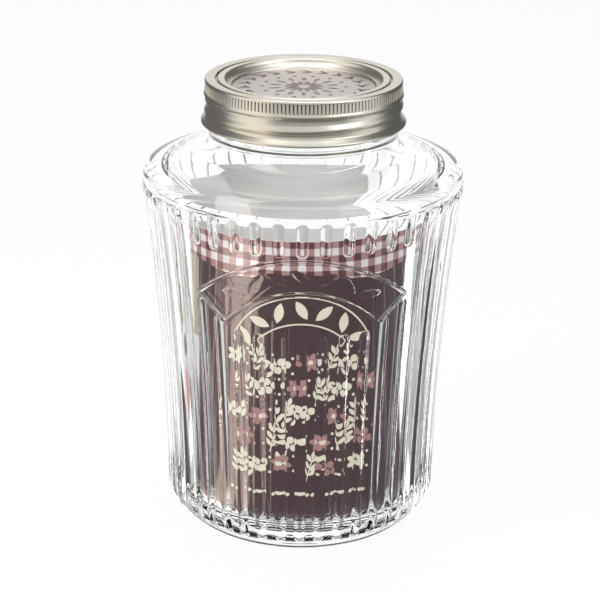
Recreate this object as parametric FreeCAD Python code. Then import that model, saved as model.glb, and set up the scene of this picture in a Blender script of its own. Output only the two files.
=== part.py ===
import FreeCAD, Part
import math
import os

# Ribbed glass preserving jar with a two-piece screw lid and a curled card standing inside.
# Millimetres, +Z up. The origin is the middle of the foot ring, on the surface that the jar
# stands on. The front, with the arched field in the ribbed glass, faces -Y.

# ---- overall sizes
OVERALL_HEIGHT = 176.6      # foot to the top of the screw band
SHOULDER_RADIUS = 60.3      # widest smooth ring of the shoulder
NECK_RADIUS = 35.5          # plain neck that the lid fits
SHOULDER_DROP = 36.6        # widest ring below the top of the band

# ---- glass
GLASS_WALL = 3.3
NECK_WALL = 5.3             # wall between the mouth and the outside of the neck
SWELL = 1.5                 # how far the shoulder's widest ring overhangs the wall below it
SWELL_HEIGHT = 9.0
FLARE = 7.5                 # how much wider the wall is at its top than at its waist
WALL_HOLLOW = 1.45          # how far the flared wall dips inside a straight line
HEEL_HEIGHT = 17.3          # height of the heel's quarter ellipse
HEEL_REACH = 20.3           # its half width
FOOT_WIDTH = 3.0            # flat ring that the jar stands on
SHOULDER_CORNER = 4.5       # radius over the shoulder's edge
SHOULDER_SLOPE = 17.0       # degrees that the shoulder falls towards its edge
NECK_FILLET = 6.0           # hollow curve from the shoulder into the neck
FLOOR_HEIGHT = 10.6         # inner floor above the table
FLOOR_CORNER = 13.0         # hollow curve from the inner floor into the wall
PUSH_UP = 3.4               # how far the base rises inside the foot ring
PUSH_UP_CORNER = 4.0
RIM_BEVEL = 0.8             # bevel of the glass lip

# ---- ribs
RIB_COUNT = 44
RIB_WIDTH = 4.0
RIB_RISE = 1.0
RIB_ROOT = 1.2              # how deep a rib reaches into the glass
RIB_FACETS = 4              # flats that stand for a rib's round back
RIB_TIPS = (0.97, 0.75)     # level sections of a round end, in shares of its half width
RIB_SPAN = 40.0             # longest straight run of a rib along the flared wall
RIB_TIP_DROP = 1.6          # upper tips below the widest ring, on the swell
RIB_FOOT_HEIGHT = 9.5       # lower tips, on the heel
SHORT_RIB_LENGTH = 12.9     # ribs above the arched field

# ---- bare arched field that the front ribs leave free, drawn as seen from the front
FIELD_DROP = 16.1           # crown of the outer arc below the widest ring
FIELD_TOP_ARC = 49.8        # radius of the outer arc
FIELD_TOP_HALF_SPAN = 37.3
FIELD_HEIGHT = 12.4         # crown of the inner arc below that of the outer arc
FIELD_LOW_ARC = 33.8
FIELD_LOW_HALF_SPAN = 27.4
FIELD_TO_RIBS = 2.6         # gap between the inner arc and the long ribs below it

# ---- lid disc
DISC_METAL = 0.5
DISC_INSET = 0.9            # edge of the disc's flange inside the neck's outside
BEAD_DROP = 0.1             # bead top below the band's top
BEAD_ROUND = 0.35
BEAD_FLANK = 0.7            # width of the bead's slanted inner side
RAMP_INSET = 0.9            # top of the ramp inside the part that drops into the mouth
RAMP_WIDTH = 2.0
RAMP_DROP = 1.5             # top of the ramp below the band's top
STEP_RISE = 0.9             # small step round the panel
STEP_WIDTH = 0.4
PANEL_DROP = 3.65           # flat middle panel below the band's top

# ---- screw band
BAND_METAL = 0.5
BAND_HEIGHT = 16.7
BAND_CORNER = 0.8
LIP_OVERLAP = 1.7           # how far the band's lip covers the disc's flange
LIP_DROP = 0.35             # how far the lip's inner edge lies below the band's top
KNURL_COUNT = 160
KNURL_STAND = 0.6           # knurled belt outside the plain groove
KNURL_DEPTH = 0.28
KNURL_FLAT = 0.36           # flat part of a tooth, as a share of its pitch
KNURL_TOP_DROP = 1.3
KNURL_HEIGHT = 3.6
LEDGE_DROP = 6.3            # where the belt under the knurls turns in to the groove
LEDGE_SLANT = 0.8
RIDGE_STAND = 1.1           # the ridge that the jar's thread bears on, outside the groove
RIDGE_HALF = 1.6            # half of the ridge's height at its root
RIDGE_CREST = 0.5           # half of its height at its crest
RIDGE_SHIFT = 0.3           # how far the ridge lies below the groove's middle
SKIRT_HEIGHT = 2.4          # flared skirt down to the hem
HEM_STAND = 2.0             # rolled lower edge outside the groove
HEM_ROLL = 0.7

# ---- curled card
CARD_THICK = 0.5
CARD_TOP_DROP = 11.5        # upper edge below the widest ring
CARD_WRAP = 300.0           # degrees of the curl
CARD_GAP_AT = 25.0          # direction of the middle of the opening, degrees from +X to +Y

# ---- clearances
SEAT_GAP = 0.05             # between the disc and the glass lip, and round the disc's bead
FLANGE_GAP = 0.2            # between the disc's flange and the band's lip
PLUG_GAP = 0.3              # between the disc's sunk middle and the bore of the mouth
BAND_GAP = 0.4              # between the band and the neck
CARD_GAP = 1.8              # between the card and the wall at the waist
CARD_SEAT_GAP = 0.1         # between the card's lower edge and the glass

# ---- sizes that follow
SHOULDER_HEIGHT = OVERALL_HEIGHT - SHOULDER_DROP
RIBBED_TOP_HEIGHT = SHOULDER_HEIGHT - SWELL_HEIGHT
RIBBED_TOP_RADIUS = SHOULDER_RADIUS - SWELL
WAIST_RADIUS = RIBBED_TOP_RADIUS - FLARE
FOOT_RADIUS = WAIST_RADIUS - HEEL_REACH
MOUTH_RADIUS = NECK_RADIUS - NECK_WALL
RIB_TOP_HEIGHT = SHOULDER_HEIGHT - RIB_TIP_DROP
SHORT_RIB_FOOT = RIB_TOP_HEIGHT - SHORT_RIB_LENGTH
FIELD_TOP_HEIGHT = SHOULDER_HEIGHT - FIELD_DROP
FIELD_LOW_HEIGHT = FIELD_TOP_HEIGHT - FIELD_HEIGHT
DISC_RADIUS = NECK_RADIUS - DISC_INSET
LIP_RADIUS = DISC_RADIUS - LIP_OVERLAP
PLUG_RADIUS = MOUTH_RADIUS - PLUG_GAP
GROOVE_RADIUS = NECK_RADIUS + BAND_GAP + BAND_METAL
BAND_RADIUS = GROOVE_RADIUS + KNURL_STAND
CARD_RADIUS = WAIST_RADIUS - GLASS_WALL - CARD_GAP
CARD_TOP_HEIGHT = SHOULDER_HEIGHT - CARD_TOP_DROP


def point(radius, height):
    return FreeCAD.Vector(radius, 0, height)


def polar(centre, radius, degrees):
    """A point of the profile plane on a circle round centre."""
    angle = math.radians(degrees)
    return centre + FreeCAD.Vector(radius * math.cos(angle), 0, radius * math.sin(angle))


def line(start, end):
    return Part.makeLine(start, end)


def path(places):
    """Straight edges through the places."""
    return [line(places[index], places[index + 1]) for index in range(len(places) - 1)]


def arc(start, middle, end):
    return Part.Arc(start, middle, end).toShape()


def fillet_arc(before, corner, after, radius):
    """The arc that rounds the corner between two straight runs, and its two ends."""
    to_before = (before - corner).normalize()
    to_after = (after - corner).normalize()
    half = to_before.getAngle(to_after) / 2
    reach = radius / math.tan(half)
    start = corner + to_before * reach
    end = corner + to_after * reach
    bisector = (to_before + to_after).normalize()
    middle = corner + bisector * (radius / math.sin(half) - radius)
    return arc(start, middle, end), start, end


def rounded_path(points, radii):
    """Edges through the points with each inner corner rounded by its radius, 0 for a sharp one."""
    edges = []
    at = points[0]
    for index in range(1, len(points) - 1):
        radius = radii[index - 1]
        if radius > 0:
            curve, start, end = fillet_arc(points[index - 1], points[index], points[index + 1], radius)
            edges.append(line(at, start))
            edges.append(curve)
            at = end
        else:
            edges.append(line(at, points[index]))
            at = points[index]
    edges.append(line(at, points[-1]))
    return edges


def revolve(edges, degrees=360):
    """The solid swept by a closed profile round the jar's axis."""
    face = Part.Face(Part.Wire(Part.__sortEdges__(edges)))
    return face.revolve(FreeCAD.Vector(0, 0, 0), FreeCAD.Vector(0, 0, 1), degrees)


# ---- the glass

def wall_radius(height, offset=0.0):
    """The flared wall: a straight line from heel to shoulder that dips in by WALL_HOLLOW."""
    share = (height - HEEL_HEIGHT) / (RIBBED_TOP_HEIGHT - HEEL_HEIGHT)
    straight = WAIST_RADIUS + (RIBBED_TOP_RADIUS - WAIST_RADIUS) * share
    return straight - 4 * WALL_HOLLOW * share * (1 - share) + offset


def wall_point(height, offset=0.0):
    return point(wall_radius(height, offset), height)


def wall_edge(low, high, offset=0.0):
    """The wall between two heights as one parabola."""
    middle = (low + high) / 2
    bulge = wall_radius(middle) - (wall_radius(low) + wall_radius(high)) / 2
    pole = point(wall_radius(middle, offset) + bulge, middle)
    curve = Part.BezierCurve()
    curve.setPoles([wall_point(low, offset), pole, wall_point(high, offset)])
    return curve.toShape()


def shoulder_points(offset=0.0):
    """Centre of the shoulder's corner, the ends of its arc and the foot of the neck's fillet."""
    centre = point(SHOULDER_RADIUS - SHOULDER_CORNER, SHOULDER_HEIGHT)
    corner = SHOULDER_CORNER + offset
    swell_foot = wall_point(RIBBED_TOP_HEIGHT, offset)
    to_foot = swell_foot - centre
    tangent = math.degrees(math.atan2(to_foot.z, to_foot.x) + math.acos(corner / to_foot.Length))
    outer_end = polar(centre, corner, tangent)
    upper_end = polar(centre, corner, 90 - SHOULDER_SLOPE)
    neck_centre_x = NECK_RADIUS + NECK_FILLET
    slope = math.radians(SHOULDER_SLOPE)
    fillet = NECK_FILLET - offset
    foot_x = neck_centre_x - fillet * math.sin(slope)
    foot_z = upper_end.z + (upper_end.x - foot_x) * math.tan(slope)
    neck_centre = point(neck_centre_x, foot_z + fillet * math.cos(slope))
    return centre, outer_end, upper_end, swell_foot, neck_centre, point(foot_x, foot_z), fillet


def shoulder_edges(offset=0.0):
    """The swell, the shoulder's corner, its slope and the hollow curve into the neck."""
    centre, outer_end, upper_end, swell_foot, neck_centre, fillet_foot, fillet = shoulder_points(offset)
    corner = SHOULDER_CORNER + offset
    middle = polar(centre, corner, (90 - SHOULDER_SLOPE) / 2)
    neck_start = point(neck_centre.x - fillet, neck_centre.z)
    return [
        line(swell_foot, outer_end),
        arc(outer_end, middle, upper_end),
        line(upper_end, fillet_foot),
        arc(fillet_foot, polar(neck_centre, fillet, 180 + (90 - SHOULDER_SLOPE) / 2), neck_start),
    ], neck_start


def heel_edge():
    """Quarter ellipse from the foot ring up to the wall."""
    centre = point(FOOT_RADIUS, HEEL_HEIGHT)
    ellipse = Part.Ellipse(centre + point(HEEL_REACH, 0), centre - point(0, HEEL_HEIGHT), centre)
    return Part.ArcOfEllipse(ellipse, 0, math.pi / 2).toShape()


def flange_top():
    """Top of the disc's flange, right under the band's lip."""
    return OVERALL_HEIGHT - LIP_DROP - BAND_METAL - FLANGE_GAP


def rim_height():
    """The glass lip, right under the disc's flange."""
    return flange_top() - DISC_METAL - SEAT_GAP


def glass_outside():
    """The whole outer form as a filled solid, without ribs."""
    shoulder, neck_start = shoulder_edges()
    rim = rim_height()
    foot_inner = FOOT_RADIUS - FOOT_WIDTH
    under = rounded_path(
        [
            point(FOOT_RADIUS, 0),
            point(foot_inner, 0),
            point(foot_inner - PUSH_UP, PUSH_UP),
            point(0, PUSH_UP),
        ],
        [0, PUSH_UP_CORNER],
    )
    neck = path([
        neck_start,
        point(NECK_RADIUS, rim - RIM_BEVEL),
        point(NECK_RADIUS - RIM_BEVEL, rim),
        point(0, rim),
        point(0, PUSH_UP),
    ])
    wall = [wall_edge(HEEL_HEIGHT, RIBBED_TOP_HEIGHT)]
    return revolve([heel_edge()] + wall + shoulder + neck + under)


def inside_wall_foot():
    """Where the inner wall meets the floor's corner, and that corner's centre."""
    centre_z = FLOOR_HEIGHT + FLOOR_CORNER
    wall = wall_point(centre_z, -GLASS_WALL)
    return wall, point(wall.x - FLOOR_CORNER, centre_z)


def glass_inside():
    """The hollow: floor, corner, wall, shoulder and the bore of the mouth, past the rim."""
    shoulder, neck_start = shoulder_edges(-GLASS_WALL)
    wall_foot, corner = inside_wall_foot()
    above = OVERALL_HEIGHT + GLASS_WALL
    bore_start = point(MOUTH_RADIUS, neck_start.z + (neck_start.x - MOUTH_RADIUS))
    edges = [
        line(point(0, FLOOR_HEIGHT), point(corner.x, FLOOR_HEIGHT)),
        arc(point(corner.x, FLOOR_HEIGHT), polar(corner, FLOOR_CORNER, -45), wall_foot),
        wall_edge(wall_foot.z, RIBBED_TOP_HEIGHT, -GLASS_WALL),
        line(neck_start, bore_start),
        line(bore_start, point(MOUTH_RADIUS, above)),
        line(point(MOUTH_RADIUS, above), point(0, above)),
        line(point(0, above), point(0, FLOOR_HEIGHT)),
    ]
    return revolve(edges + shoulder)


def heel_radius(height):
    """The heel's quarter ellipse."""
    sink = (HEEL_HEIGHT - height) / HEEL_HEIGHT
    return FOOT_RADIUS + HEEL_REACH * math.sqrt(1 - sink ** 2)


def swell_radius(height):
    """The short straight swell between the wall and the shoulder's corner."""
    shoulder = shoulder_points()
    low, high = shoulder[3], shoulder[1]
    return low.x + (high.x - low.x) * (height - low.z) / (high.z - low.z)


def ribbed_radius(height):
    """The glass between the ribs, at any height that a rib reaches."""
    if height < HEEL_HEIGHT:
        return heel_radius(height)
    if height < RIBBED_TOP_HEIGHT:
        return wall_radius(height)
    return swell_radius(height)


def rib_section(height, past_end):
    """A rib's level section at +X. Past the middle of a round end it shrinks like a ball's."""
    ball = (RIB_WIDTH ** 2 / 4 + RIB_RISE ** 2) / (2 * RIB_RISE)
    half = math.sqrt(RIB_WIDTH ** 2 / 4 - past_end ** 2)
    base = ribbed_radius(height)
    places = [FreeCAD.Vector(base - RIB_ROOT, -half, height)]
    for index in range(RIB_FACETS + 1):
        across = half * (2 * index / RIB_FACETS - 1)
        rise = math.sqrt(max(ball ** 2 - past_end ** 2 - across ** 2, 0)) - (ball - RIB_RISE)
        places.append(FreeCAD.Vector(base + rise, across, height))
    places.append(FreeCAD.Vector(base - RIB_ROOT, half, height))
    return Part.makePolygon(places + places[:1])


def rib(low_tip, high_tip):
    """One rib with round ends at +X: level sections up the glass, joined by a loft."""
    end = RIB_WIDTH / 2
    low = low_tip + end
    high = high_tip - end
    tips = [share * end for share in RIB_TIPS]
    sections = [rib_section(low - past, past) for past in tips]
    heights = [low]
    if low < HEEL_HEIGHT:
        heights += [(low + HEEL_HEIGHT) / 2, HEEL_HEIGHT]
    wall_low = heights[-1]
    wall_high = min(high, RIBBED_TOP_HEIGHT)
    if wall_high > wall_low:
        spans = math.ceil((wall_high - wall_low) / RIB_SPAN)
        heights += [wall_low + (wall_high - wall_low) * step / spans for step in range(1, spans + 1)]
    if high > RIBBED_TOP_HEIGHT:
        heights.append(high)
    sections += [rib_section(height, 0) for height in heights]
    sections += [rib_section(high + past, past) for past in reversed(tips)]
    return Part.makeLoft(sections, True, True)


def all_ribs():
    """Ribs all round. Those at the front are split by the arched field."""
    ribs = []
    pitch = 360.0 / RIB_COUNT
    long_rib = rib(RIB_FOOT_HEIGHT, RIB_TOP_HEIGHT)
    short_rib = rib(SHORT_RIB_FOOT, RIB_TOP_HEIGHT)
    for index in range(RIB_COUNT):
        steps = min(index, RIB_COUNT - index)
        turn = -90 + index * pitch
        if interrupted(steps * pitch):
            pieces = [short_rib, rib(RIB_FOOT_HEIGHT, lower_rib_top(steps * pitch))]
        else:
            pieces = [long_rib]
        for piece in pieces:
            turned = piece.copy()
            turned.rotate(FreeCAD.Vector(0, 0, 0), FreeCAD.Vector(0, 0, 1), turn)
            ribs.append(turned)
    return ribs


def interrupted(degrees):
    """Whether the arched field interrupts a rib this far from the middle of the front."""
    reach = FIELD_TOP_HALF_SPAN + RIB_WIDTH
    return degrees < 90 and RIBBED_TOP_RADIUS * math.sin(math.radians(degrees)) < reach


def lower_rib_top(degrees):
    """Upper tip of a long rib that stands under the arched field, this far from the middle."""
    sideways = RIBBED_TOP_RADIUS * math.sin(math.radians(degrees))
    crown = FIELD_LOW_HEIGHT - FIELD_LOW_ARC
    under_ends = field_ends()[1].z - FIELD_TO_RIBS
    if abs(sideways) > FIELD_LOW_HALF_SPAN:
        outer, inner = field_ends()
        share = (abs(sideways) - inner.x) / (outer.x - inner.x)
        return inner.z + min(share, 1.0) * (outer.z - inner.z) - FIELD_TO_RIBS
    return min(under_ends, crown + math.sqrt(FIELD_LOW_ARC ** 2 - sideways ** 2) - FIELD_TO_RIBS)


def field_ends():
    """Ends of the outer and the inner arc on the right-hand side."""
    outer_drop = FIELD_TOP_ARC - math.sqrt(FIELD_TOP_ARC ** 2 - FIELD_TOP_HALF_SPAN ** 2)
    inner_drop = FIELD_LOW_ARC - math.sqrt(FIELD_LOW_ARC ** 2 - FIELD_LOW_HALF_SPAN ** 2)
    outer = point(FIELD_TOP_HALF_SPAN, FIELD_TOP_HEIGHT - outer_drop)
    inner = point(FIELD_LOW_HALF_SPAN, FIELD_LOW_HEIGHT - inner_drop)
    return outer, inner


def glass_jar():
    outside = glass_outside().fuse(all_ribs())
    return outside.cut(glass_inside())


# ---- the lid

def lid_disc():
    """Stepped disc: flat panel, step, ramp, bead and the flange that seals on the glass."""
    top = OVERALL_HEIGHT
    panel = top - PANEL_DROP
    step = panel + STEP_RISE
    ramp = top - RAMP_DROP
    bead = top - BEAD_DROP
    flange = flange_top()
    bead_edge = LIP_RADIUS - SEAT_GAP
    ramp_edge = PLUG_RADIUS - RAMP_INSET
    step_edge = ramp_edge - RAMP_WIDTH
    panel_edge = step_edge - STEP_WIDTH
    upper = [
        point(0, panel),
        point(panel_edge, panel),
        point(step_edge, step),
        point(ramp_edge, ramp),
        point(ramp_edge + BEAD_FLANK, bead - BEAD_ROUND),
        point(ramp_edge + BEAD_FLANK + BEAD_ROUND, bead),
        point(bead_edge - BEAD_ROUND, bead),
        point(bead_edge, bead - BEAD_ROUND),
        point(bead_edge, flange),
        point(DISC_RADIUS, flange),
    ]
    lower = [
        point(DISC_RADIUS, flange - DISC_METAL),
        point(PLUG_RADIUS, flange - DISC_METAL),
        point(ramp_edge, ramp - DISC_METAL),
        point(step_edge + DISC_METAL, step - DISC_METAL),
        point(panel_edge + DISC_METAL, panel - DISC_METAL),
        point(0, panel - DISC_METAL),
    ]
    return revolve(path(upper + lower + upper[:1]))


def knurl_ring(low, high, inner):
    """The belt of fine teeth, as one extruded ring."""
    edges = []
    step = 2 * math.pi / KNURL_COUNT
    flat = KNURL_FLAT * step
    for index in range(KNURL_COUNT):
        around = index * step
        corners = [
            (BAND_RADIUS, around - flat / 2),
            (BAND_RADIUS, around + flat / 2),
            (BAND_RADIUS - KNURL_DEPTH, around + step / 2),
            (BAND_RADIUS, around + step - flat / 2),
        ]
        places = [FreeCAD.Vector(r * math.cos(a), r * math.sin(a), low) for r, a in corners]
        edges.append(line(places[0], places[1]))
        edges.append(line(places[1], places[2]))
        edges.append(line(places[2], places[3]))
    outer = Part.Face(Part.Wire(edges))
    teeth = outer.extrude(FreeCAD.Vector(0, 0, high - low))
    return teeth.cut(Part.makeCylinder(inner, high - low, FreeCAD.Vector(0, 0, low)))


def screw_band():
    """Open ring: lip over the disc, knurled belt, groove, thread ridge and rolled hem."""
    top = OVERALL_HEIGHT
    foot = top - BAND_HEIGHT
    belt = BAND_RADIUS - KNURL_DEPTH
    ledge = top - LEDGE_DROP
    groove_top = ledge - LEDGE_SLANT
    groove_foot = foot + SKIRT_HEIGHT
    ridge = (groove_top + groove_foot) / 2 - RIDGE_SHIFT
    ridge_radius = GROOVE_RADIUS + RIDGE_STAND
    hem_radius = GROOVE_RADIUS + HEM_STAND
    knurl_top = top - KNURL_TOP_DROP
    knurl_low = knurl_top - KNURL_HEIGHT
    bore = GROOVE_RADIUS - BAND_METAL
    lip_under = top - LIP_DROP - BAND_METAL
    hem_middle = foot + HEM_ROLL
    outer = [
        point(LIP_RADIUS, top - LIP_DROP),
        point(BAND_RADIUS - BAND_CORNER, top),
        point(belt, top - BAND_CORNER),
        point(belt, knurl_low),
        point(BAND_RADIUS, knurl_low - KNURL_DEPTH / 2),
        point(BAND_RADIUS, ledge),
        point(GROOVE_RADIUS, groove_top),
        point(GROOVE_RADIUS, ridge + RIDGE_HALF),
        point(ridge_radius, ridge + RIDGE_CREST),
        point(ridge_radius, ridge - RIDGE_CREST),
        point(GROOVE_RADIUS, ridge - RIDGE_HALF),
        point(GROOVE_RADIUS, groove_foot),
        point(hem_radius, hem_middle + HEM_ROLL / 2),
        point(hem_radius, hem_middle - HEM_ROLL / 2),
        point(hem_radius - HEM_ROLL / 2, foot),
    ]
    inner = [
        point(hem_radius - HEM_ROLL * 3 / 2, foot),
        point(hem_radius - HEM_ROLL * 2, hem_middle),
        point(bore, groove_foot),
        point(bore, lip_under),
        point(LIP_RADIUS, lip_under),
    ]
    ring = revolve(path(outer + inner + outer[:1]))
    return ring.fuse(knurl_ring(knurl_low, knurl_top, belt - BAND_METAL / 2)).removeSplitter()


# ---- the card

def card_foot_height():
    """Where the card's outer lower edge rests in the hollow corner over the floor."""
    wall_foot, corner = inside_wall_foot()
    reach = CARD_RADIUS - corner.x
    return corner.z - math.sqrt(FLOOR_CORNER ** 2 - reach ** 2) + CARD_SEAT_GAP


def card_insert():
    """A card curled into an open cylinder, its opening at the right, a little to the back."""
    foot = card_foot_height()
    inner = CARD_RADIUS - CARD_THICK
    corners = [
        point(inner, foot),
        point(CARD_RADIUS, foot),
        point(CARD_RADIUS, CARD_TOP_HEIGHT),
        point(inner, CARD_TOP_HEIGHT),
    ]
    sheet_solid = revolve(path(corners + corners[:1]), CARD_WRAP)
    start = CARD_GAP_AT + (360 - CARD_WRAP) / 2
    sheet_solid.rotate(FreeCAD.Vector(0, 0, 0), FreeCAD.Vector(0, 0, 1), start)
    return sheet_solid


def main():
    os.makedirs("parts", exist_ok=True)
    pieces = {
        "glass_jar": glass_jar(),
        "lid_disc": lid_disc(),
        "screw_band": screw_band(),
        "card_insert": card_insert(),
    }
    for name, shape in pieces.items():
        shape.exportStep(f"parts/{name}.step")
        print(name, shape.ShapeType, len(shape.Solids), round(shape.Volume), shape.isValid())


main()
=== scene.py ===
import math

import bmesh
import bpy
from bpy.props import FloatProperty, FloatVectorProperty, IntProperty, PointerProperty
from mathutils import Matrix, Vector


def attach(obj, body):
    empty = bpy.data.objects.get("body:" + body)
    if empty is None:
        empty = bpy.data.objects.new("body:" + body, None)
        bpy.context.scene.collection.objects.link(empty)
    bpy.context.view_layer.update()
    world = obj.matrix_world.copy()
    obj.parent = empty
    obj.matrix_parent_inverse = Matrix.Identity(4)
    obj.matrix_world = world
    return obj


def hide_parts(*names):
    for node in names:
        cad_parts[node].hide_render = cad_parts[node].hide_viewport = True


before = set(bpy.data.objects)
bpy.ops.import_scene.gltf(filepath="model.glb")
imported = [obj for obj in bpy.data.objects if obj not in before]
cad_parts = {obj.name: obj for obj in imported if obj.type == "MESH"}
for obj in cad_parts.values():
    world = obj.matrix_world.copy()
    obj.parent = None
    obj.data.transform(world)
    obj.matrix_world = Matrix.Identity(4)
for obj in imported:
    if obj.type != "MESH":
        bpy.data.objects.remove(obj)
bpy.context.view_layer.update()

bl_info = {
    "name": "Ribbed preserving jar",
    "version": (1, 0, 0),
    "blender": (4, 5, 0),
    "location": "3D View > Sidebar > Jar",
    "description": "Pressed glass jar with a two-piece screw lid and a curled printed card inside",
    "category": "Object",
}

# Profiles and patterns below are in millimetres and degrees. Directions are counted from the
# front (-Y), positive towards +X. Meshes are scaled to metres as they are made.
MM = 0.001
SQUARE = 62.0       # edges that turn by more than this are shaded as sharp
BAND_SQUARE = 40.0  # the same for the band's thin metal
DOUBLINGS = 6       # the glass and the band are turned as one sector that is doubled this often

# ---- glass
FOOT_RADIUS = 31.0
FOOT_WIDTH = 3.0
PUSH_UP = 3.4
WAIST_RADIUS = 51.3
HEEL_HEIGHT = 17.3
RIBBED_TOP_RADIUS = 58.8
RIBBED_TOP_HEIGHT = 131.0
WALL_HOLLOW = 1.45
SHOULDER_RADIUS = 60.3
SHOULDER_HEIGHT = 140.0
SHOULDER_CORNER = 4.5
SHOULDER_SLOPE = 17.0
NECK_RADIUS = 35.5
NECK_FILLET = 6.0
NECK_BEAD_HEIGHT = 157.4
MOUTH_RADIUS = 30.2
RIM_HEIGHT = 175.0
FLOOR_HEIGHT = 10.6
FLOOR_CORNER = 13.0
RIB_TOP_HEIGHT = 138.4
RIB_FOOT_HEIGHT = 9.5
SHORT_RIB_FOOT = 125.5
RIBBED = (7.5, 139.2)       # heights between which ribs, frame or leaves can stand
OUTER_SKIN = 1.0            # what lies deeper than this under the plain wall is its inside
FRAME_RIBS = 5
COLUMNS_PER_RIB = 16
SMOOTH_COLUMN_STEP = 4
INNER_CORNER = 11.0         # hollow of the shoulder's inside, rounder than its outside
ARC_STEPS = 9               # steps of the shoulder's corner and of its curve into the neck
SLOPE_PARTS = 4             # parts of the slope between them

# ---- arched frame in the glass, as seen from the front
FIELD_LOW = 92.0
FIELD_HIGH = 128.0
FIELD_ROW = 4.5
FIELD_REACH = 47.0          # degrees either side of the front
ARCH_TOP = (49.8, 123.9, 37.3)      # radius, crown height and half span of the outer arc
ARCH_LOW = (33.8, 111.5, 27.4)      # the same of the inner arc
ARCH_TO_RIBS = 2.6
FRAME_FIELD = (92.0, 126.0, 42.0)   # lowest and highest relief, and its reach to either side
LINE_NEAR = 1.15            # the net is finer this near to the frame's line
LEAF_NEAR = (0.45, 1.6)     # and between these shares of a leaf
LEAF_PITCH = 8.6
LEAF_HALF = (4.3, 1.6)
LEAF_TILT = 36.0

# ---- lid
THREAD_PITCH = 5.08
KNURL_BELT = (171.8, 175.4)         # heights of the knurled belt
KNURL_RADIUS = 36.8                 # its metal lies outside this
SLOT_SHADE_RADIUS = 36.82             # painted shade in the knurl's slots starts below this
GROOVE = (162.75, 169.4)            # heights of the groove with the thread ridge
GROOVE_RADIUS = 36.3
RIDGE = (165.65, 1.75, 0.75)        # middle in front, half width and rise of the ridge
LACQUER_RADIUS = 26.75              # edge of the disc's lacquer
PANEL_PRINT = 172.99                # height of the print on the disc

# ---- stage
WHITE_SHARE = 0.9           # how much of the table's white is its own
# Screens and panels round the jar: from one direction to another, and their light.
WHITE_SCREEN = (1.12, 1.12, 1.12, 1)
OPEN_SCREEN = ((-36, 62, (0.7, 0.7, 0.71)),)
DARK_FLAGS = ((114, 145, (0.07, 0.07, 0.07)), (-141, -125, (0.16, 0.16, 0.17)))
METAL_SCREEN = (0.95, 0.95, 0.95, 1)
METAL_SEES = (
    (98, 160, (0.12, 0.12, 0.12)), (-160, -94, (0.16, 0.16, 0.16)), (-80, -42, (1.3, 1.2, 1.08)),
)
GLASS_SEES = (
    (-80, 55, (0.25, 0.25, 0.25)), (55, 78, (0.4, 0.4, 0.41)), (79, 87, (15.0, 15.0, 15.3)),
    (88, 136, (0.45, 0.45, 0.45)), (-93, -87, (9.0, 8.8, 8.5)), (-140, -94, (0.7, 0.7, 0.7)),
)
CARD_SEES = (
    (-38, 124, (0.04, 0.04, 0.045)), (-112, -66, (0.06, 0.06, 0.06)), (-66, -38, (2.1, 1.68, 1.45)),
)
# What the metal mirrors in front of the jar, near it and far off.
FRONT_NEAR = (0.3, 0.3, 0.3, 1)
FRONT_FAR = (0.85, 0.85, 0.85, 1)
SKY = (0.65, 0.65, 0.66, 1)     # the room's even light
WHITE = (1, 1, 1, 1)
CAMERA_PLACE = (0, -0.7167, 0.3565)
CAMERA_TURN = (0.055, 20.53, 0.55)  # yaw, pitch down and roll in degrees
CAMERA_LENS = 118.7

# ---- card
CARD_RADIUS = 46.2
CARD_FOOT = 16.9
CARD_TOP = 128.5
CARD_WRAP = 300.0
CARD_GAP_AT = 115.0
CARD_THICK = 0.5
PRINT_LIFT = 0.06           # how far the printed shapes stand off the card
SIDE_FIELD = 54.0           # the pale side fields start this many degrees from the front
OLIVE_END = 96.0            # and the olive one at the left ends here
OLIVE_FOOT = 84.0
CLOTH_DROP = 14.2           # middle of the gingham's scalloped hem below the card's top
SCALLOP = 1.25
CHECK_WHITE = (0.80, 0.77, 0.76, 1)
SIDE_COLOUR = (0.72, 0.72, 0.72, 1)
OLIVE_COLOUR = (0.40, 0.35, 0.24, 1)
CORAL_INK = (0.72, 0.22, 0.20)
DARK_INK = (0.05, 0.05, 0.08)


def length_property(name, about, size):
    return FloatProperty(name=name, description=about, default=size, unit="LENGTH")


def colour_property(name, about, rgb):
    return FloatVectorProperty(name=name, description=about, default=rgb, subtype="COLOR", size=3)


class JarSizes(bpy.types.PropertyGroup):
    rib_count: IntProperty(name="Ribs", description="Ribs round the glass", default=44, min=8)
    rib_width: length_property("Rib width", "Width of one rib", 0.004)
    rib_rise: length_property("Rib rise", "How far a rib stands out", 0.001)
    glass_wall: length_property("Glass wall", "Thickness of the glass wall", 0.0033)
    arch_line: length_property("Arch line", "Width of the raised line", 0.0013)
    arch_rise: length_property("Arch rise", "Height of the raised line", 0.0005)
    knurl_count: IntProperty(
        name="Knurls", description="Fine teeth round the band", default=160, min=20
    )
    knurl_depth: length_property("Knurl depth", "Depth of the teeth", 0.0004)
    check_size: length_property("Check size", "One check of the gingham", 0.0029)


class JarColours(bpy.types.PropertyGroup):
    glass: colour_property("Glass", "Tint of the glass", (0.985, 0.995, 0.992))
    band: colour_property("Band", "Champagne tinplate of the screw band", (0.70, 0.675, 0.59))
    disc: colour_property("Disc", "Lacquered tinplate of the disc", (0.61, 0.565, 0.545))
    disc_print: colour_property("Disc print", "Print on the disc", (0.15, 0.105, 0.105))
    plum: colour_property("Plum", "Ground colour of the card", (0.064, 0.026, 0.031))
    cream: colour_property("Cream", "Light print of the card", (0.80, 0.75, 0.60))
    dusty_pink: colour_property("Dusty pink", "Second print colour of the card", (0.42, 0.22, 0.22))
    check_pink: colour_property("Check pink", "Single thread checks", (0.42, 0.235, 0.23))
    check_dark: colour_property("Check maroon", "Crossed checks", (0.11, 0.035, 0.04))
    board: colour_property("Board", "Bare white side of the card", (0.88, 0.87, 0.86))


# ---- mesh helpers

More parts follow.
